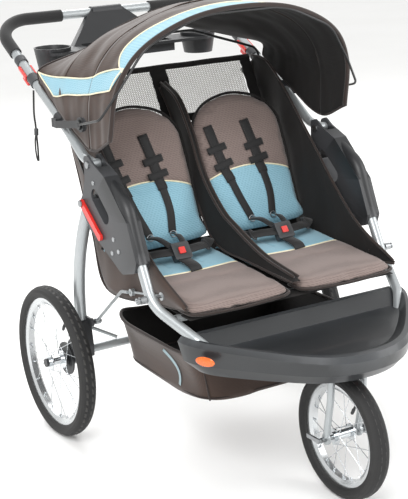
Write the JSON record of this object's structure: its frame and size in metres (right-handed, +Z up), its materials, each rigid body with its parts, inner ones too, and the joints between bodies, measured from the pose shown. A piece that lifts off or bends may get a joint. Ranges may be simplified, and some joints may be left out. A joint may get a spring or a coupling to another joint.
{
  "type": "jogging stroller",
  "caption": "Folding double jogging stroller: swivelling front wheel, large spoked rear wheels, side-by-side reclining seats, shared canopy, parent tray and storage basket.",
  "frame": {"origin": "on the ground, under the middle of the whole stroller", "axes": "+Z up, the stroller faces -Y, +X is to the right when looking along +Y"},
  "size_m": [0.829, 1.265, 1.12],
  "materials": {
    "silver_tube": "satin powder coat",
    "black_plastic": "fine moulded grain",
    "steel": "plated",
    "chrome": "polished",
    "tyre": "moulded tread",
    "red_plastic": "gloss",
    "amber_lens": "gloss",
    "foam": "foam",
    "brown_fabric": "woven",
    "taupe_fabric": "woven",
    "webbing": "webbing",
    "black_metal": "satin powder coat"
  },
  "bodies": {
    "frame": {"front_tube_left": "silver_tube", "front_tube_right": "silver_tube", "hinge_housing_left": "black_plastic", "hinge_housing_right": "black_plastic", "frame_pins": "steel", "seat_cross_tube": "silver_tube", "steering_head": "black_metal", "footrest_tray": "black_plastic", "tray_reflectors": "amber_lens", "seat_pad_left": "taupe_fabric", "seat_pad_right": "taupe_fabric", "side_panels": "brown_fabric", "back_panel": "brown_fabric", "buckle_left": "black_plastic", "buckle_right": "black_plastic", "harness_webbing": "webbing", "basket": "brown_fabric"},
    "handle": {"handle_tube_left": "silver_tube", "handle_tube_right": "silver_tube", "handle_bar": "silver_tube", "handle_grips": "foam", "handle_collars": "black_plastic", "parent_tray": "black_plastic", "wrist_strap": "webbing", "canopy_brackets": "black_plastic", "canopy_rear_bow": "black_metal", "canopy_fabric": "brown_fabric"},
    "canopy_carrier": {"canopy_hubs": "black_plastic"},
    "canopy_bow": {"canopy_front_bow": "black_metal"},
    "latch_left": {"release_latch_left": "red_plastic"},
    "latch_right": {"release_latch_right": "red_plastic"},
    "rear_frame": {"rear_leg_left": "silver_tube", "rear_leg_right": "silver_tube", "axle_brackets": "black_plastic", "rear_cross_bar": "black_metal"},
    "brake": {"brake_pedal": "black_plastic"},
    "front_brace": {"front_braces": "silver_tube"},
    "rear_brace": {"rear_braces": "silver_tube"},
    "rear_wheel_left": {"rear_left_tyre": "tyre", "rear_left_rim": "chrome", "rear_left_hub": "chrome", "rear_left_spokes": "chrome"},
    "rear_wheel_right": {"rear_right_tyre": "tyre", "rear_right_rim": "chrome", "rear_right_hub": "chrome", "rear_right_spokes": "chrome"},
    "fork": {"front_fork": "silver_tube", "front_axle": "steel"},
    "front_wheel": {"front_tyre": "tyre", "front_rim": "chrome", "front_hub": "chrome", "front_spokes": "chrome"},
    "quick_release": {"quick_release_lever": "steel"},
    "swivel_lock": {"swivel_knob": "red_plastic"},
    "lever_left": {"fold_lever_left": "red_plastic"},
    "lever_right": {"fold_lever_right": "red_plastic"},
    "back_left": {"seat_back_left": "taupe_fabric"},
    "back_right": {"seat_back_right": "taupe_fabric"},
    "button_left": {"buckle_button_left": "red_plastic"},
    "button_right": {"buckle_button_right": "red_plastic"}
  },
  "joints": [
    {"name": "fold", "type": "hinge", "parent": "frame", "child": "handle", "pos_m": [0, 0.053, 0.756], "axis": [1, 0, 0], "range_deg": [0, 130], "deforming": ["back_panel", "side_panels", "canopy_fabric"]},
    {"name": "rear_frame_fold", "type": "hinge", "parent": "frame", "child": "rear_frame", "pos_m": [0, 0.088, 0.655], "axis": [1, 0, 0], "range_deg": [-35, 0], "deforming": ["basket"]},
    {"name": "front_brace_fold", "type": "hinge", "parent": "frame", "child": "front_brace", "pos_m": [0, -0.197, 0.48], "axis": [1, 0, 0], "range_deg": [0, 53.92]},
    {"name": "rear_brace_fold", "type": "hinge", "parent": "rear_frame", "child": "rear_brace", "pos_m": [0, 0.145, 0.325], "axis": [1, 0, 0], "range_deg": [-13.72, 0]},
    {"name": "canopy_follow", "type": "hinge", "parent": "handle", "child": "canopy_carrier", "pos_m": [0, 0.057, 0.855], "axis": [1, 0, 0], "range_deg": [-86.7, 0]},
    {"name": "canopy_swing", "type": "hinge", "parent": "canopy_carrier", "child": "canopy_bow", "pos_m": [0, 0.057, 0.855], "axis": [1, 0, 0], "range_deg": [-85, 0], "deforming": ["canopy_fabric"]},
    {"name": "rear_wheel_left_spin", "type": "hinge", "parent": "rear_frame", "child": "rear_wheel_left", "pos_m": [-0.384, 0.255, 0.2], "axis": [1, 0, 0], "continuous": true},
    {"name": "rear_wheel_right_spin", "type": "hinge", "parent": "rear_frame", "child": "rear_wheel_right", "pos_m": [0.384, 0.255, 0.2], "axis": [1, 0, 0], "continuous": true},
    {"name": "front_swivel", "type": "hinge", "parent": "frame", "child": "fork", "pos_m": [0, -0.503, 0.319], "axis": [0, 0, 1], "continuous": true},
    {"name": "front_wheel_spin", "type": "hinge", "parent": "fork", "child": "front_wheel", "pos_m": [0, -0.481, 0.155], "axis": [1, 0, 0], "continuous": true},
    {"name": "quick_release_swing", "type": "hinge", "parent": "fork", "child": "quick_release", "pos_m": [-0.076, -0.481, 0.155], "axis": [0, 0, 1], "range_deg": [0, 90]},
    {"name": "swivel_lock_turn", "type": "hinge", "parent": "fork", "child": "swivel_lock", "pos_m": [0.03, -0.535, 0.325], "axis": [0, 1, 0], "range_deg": [0, 90]},
    {"name": "fold_lever_left_pull", "type": "hinge", "parent": "frame", "child": "lever_left", "pos_m": [-0.335, 0.088, 0.655], "axis": [1, 0, 0], "range_deg": [-20, 0]},
    {"name": "fold_lever_right_pull", "type": "hinge", "parent": "frame", "child": "lever_right", "pos_m": [0.335, 0.088, 0.655], "axis": [1, 0, 0], "range_deg": [-20, 0]},
    {"name": "latch_left_slide", "type": "slide", "parent": "handle", "child": "latch_left", "axis": [0, 0.8799, 0.4751], "range_m": [0, 0.008], "stiffness_N_per_m": 150},
    {"name": "latch_right_slide", "type": "slide", "parent": "handle", "child": "latch_right", "axis": [0, 0.8799, 0.4751], "range_m": [0, 0.008], "stiffness_N_per_m": 150},
    {"name": "brake_press", "type": "hinge", "parent": "rear_frame", "child": "brake", "pos_m": [0, 0.175, 0.243], "axis": [1, 0, 0], "range_deg": [-22, 0]},
    {"name": "seat_back_left_recline", "type": "hinge", "parent": "frame", "child": "back_left", "pos_m": [0, 0.085, 0.506], "axis": [1, 0, 0], "range_deg": [-25, 0], "deforming": ["harness_webbing", "back_panel"]},
    {"name": "seat_back_right_recline", "type": "hinge", "parent": "frame", "child": "back_right", "pos_m": [0, 0.085, 0.506], "axis": [1, 0, 0], "range_deg": [-25, 0], "deforming": ["harness_webbing", "back_panel"]},
    {"name": "buckle_button_left_press", "type": "slide", "parent": "frame", "child": "button_left", "axis": [0, 0.788, -0.6157], "range_m": [0, 0.002], "stiffness_N_per_m": 400},
    {"name": "buckle_button_right_press", "type": "slide", "parent": "frame", "child": "button_right", "axis": [0, 0.788, -0.6157], "range_m": [0, 0.002], "stiffness_N_per_m": 400}
  ],
  "couplings": [
    {"joint": "rear_frame_fold", "follows": "fold", "ratio": -0.26923},
    {"joint": "front_brace_fold", "follows": "fold", "ratio": 0.41477},
    {"joint": "rear_brace_fold", "follows": "fold", "ratio": -0.10554},
    {"joint": "canopy_follow", "follows": "fold", "ratio": -0.66692}
  ]
}
